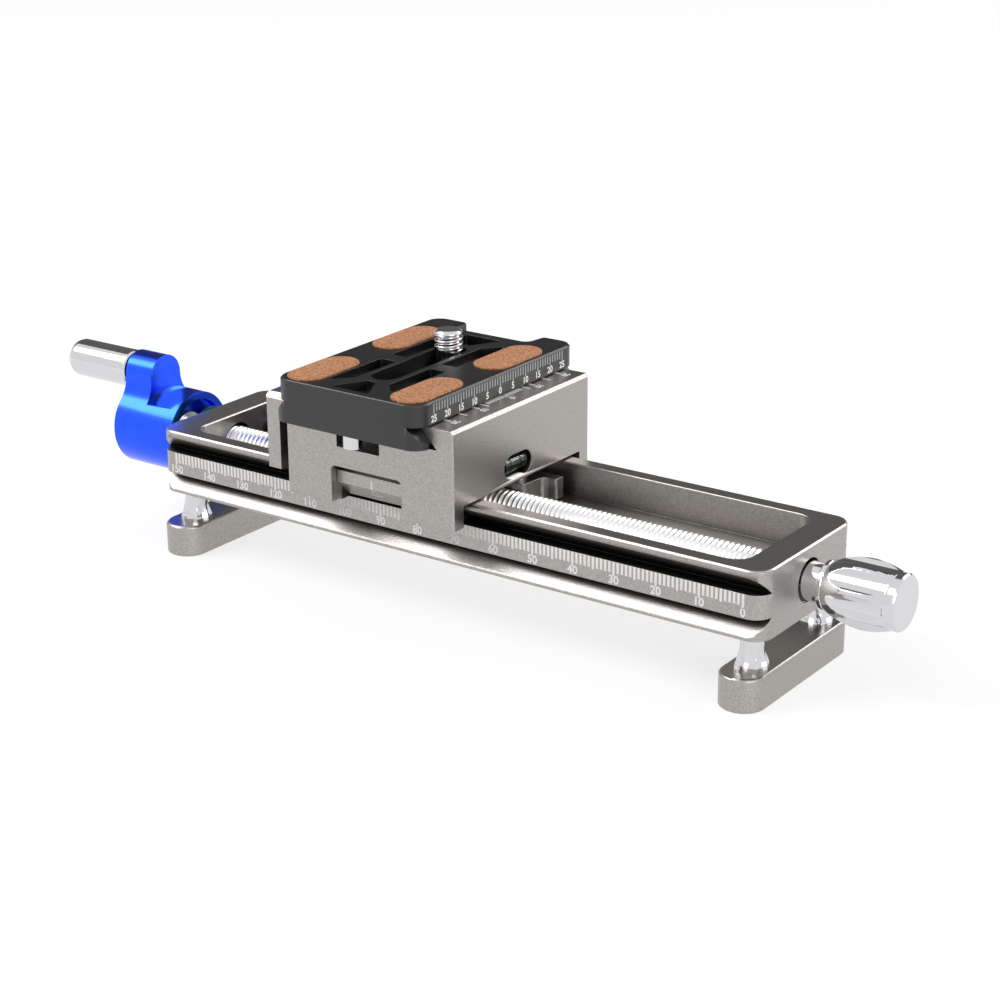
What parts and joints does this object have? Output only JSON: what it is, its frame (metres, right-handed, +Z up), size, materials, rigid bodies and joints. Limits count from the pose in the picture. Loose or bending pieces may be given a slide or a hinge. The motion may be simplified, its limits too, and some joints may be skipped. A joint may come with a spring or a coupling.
{
  "type": "macro focusing rail",
  "caption": "Macro focusing rail: a clamp carriage slides along a scaled bar on a lead screw, turned by a crank or a fluted knob, with a cork-padded quick release plate.",
  "frame": {"origin": "under the zero mark of the rail's scale, halfway across the rail, on the table that the foot bars stand on", "axes": "+X along the rail from the crank to the fluted knob, +Z up, the scale faces -Y"},
  "size_m": [0.2247, 0.0583, 0.0572],
  "materials": {
    "anodised_grey": "fine bead-blasted titanium-grey anodising",
    "anodised_black": "fine bead-blasted black anodising",
    "anodised_blue": "glossy blue anodising",
    "anodised_green": "green anodising",
    "polished_steel": "polished",
    "bright_steel": "plain turned steel",
    "brass": "turned brass",
    "bronze": "sintered bronze",
    "cork": "fine cork sheet",
    "level_glass": "clear tube",
    "level_liquid": "green level liquid",
    "white_plastic": "satin white",
    "black_plastic": "satin"
  },
  "bodies": {
    "rail": {"rail_body": "anodised_grey", "bush_left": "bronze", "bush_right": "bronze", "bearing_cap_left": "anodised_green", "end_stop_dowels": "bright_steel", "foot_bar_left": "anodised_grey", "foot_bar_right": "anodised_grey", "foot_post_front_left": "polished_steel", "foot_post_front_right": "polished_steel", "foot_post_back_left": "polished_steel", "foot_post_back_right": "polished_steel", "foot_screws": "bright_steel"},
    "spindle": {"lead_screw": "bright_steel", "thrust_washer_left": "brass", "crank_body": "anodised_blue", "crank_lock_nut": "bright_steel", "handle_bolt": "bright_steel", "knob_collar": "polished_steel", "knob_barrel": "polished_steel", "knob_cap": "polished_steel"},
    "handle": {"crank_handle": "polished_steel"},
    "carriage": {"carriage_block": "anodised_grey", "index_plate": "anodised_grey", "slide_strip_front": "black_plastic", "slide_strip_back": "black_plastic", "strip_grub_screws": "bright_steel", "nut_block": "anodised_grey", "drive_nut": "brass", "nut_block_studs": "bright_steel", "groove_stop_pin": "bright_steel", "level_carrier": "white_plastic", "level_tube": "level_glass", "level_liquid": "level_liquid", "level_end_plugs": "black_plastic"},
    "jaw": {"moving_jaw": "anodised_grey", "jaw_guide_pins": "polished_steel"},
    "clamp": {"clamp_screw": "bright_steel", "clamp_washer": "brass", "clamp_knob": "anodised_blue"},
    "plate": {"plate_body": "anodised_black", "cork_pad_front_left": "cork", "cork_pad_front_right": "cork", "cork_pad_back_left": "cork", "cork_pad_back_right": "cork", "plate_stop_pins": "polished_steel"},
    "screw_slider": {"camera_screw_washer": "bright_steel"},
    "camera_stud": {"camera_screw": "polished_steel"}
  },
  "joints": [
    {"name": "carriage_slide", "type": "slide", "parent": "rail", "child": "carriage", "axis": [1, 0, 0], "range_m": [-0.0235, 0.0534]},
    {"name": "spindle_turn", "type": "hinge", "parent": "rail", "child": "spindle", "pos_m": [-0.075, 0, 0.02216], "axis": [1, 0, 0], "range_deg": [-15400, 6800]},
    {"name": "handle_spin", "type": "hinge", "parent": "spindle", "child": "handle", "pos_m": [-0.1895, 0, 0.0349], "axis": [1, 0, 0], "continuous": true},
    {"name": "jaw_slide", "type": "slide", "parent": "carriage", "child": "jaw", "axis": [1, 0, 0], "range_m": [-0.004, 0]},
    {"name": "clamp_turn", "type": "hinge", "parent": "jaw", "child": "clamp", "pos_m": [-0.125, 0, 0.0358], "axis": [1, 0, 0], "range_deg": [-1815, 15]},
    {"name": "plate_slide", "type": "slide", "parent": "carriage", "child": "plate", "axis": [0, 1, 0], "range_m": [-0.0122, 0.0192]},
    {"name": "screw_slot_slide", "type": "slide", "parent": "plate", "child": "screw_slider", "axis": [0, 1, 0], "range_m": [-0.0215, 0.0005]},
    {"name": "camera_screw_turn", "type": "hinge", "parent": "screw_slider", "child": "camera_stud", "pos_m": [-0.09095, 0.0079, 0.05], "axis": [0, 0, 1], "continuous": true}
  ],
  "couplings": [
    {"joint": "spindle_turn", "follows": "carriage_slide", "rad_per_m": -5026.5},
    {"joint": "clamp_turn", "follows": "jaw_slide", "rad_per_m": 7854}
  ]
}
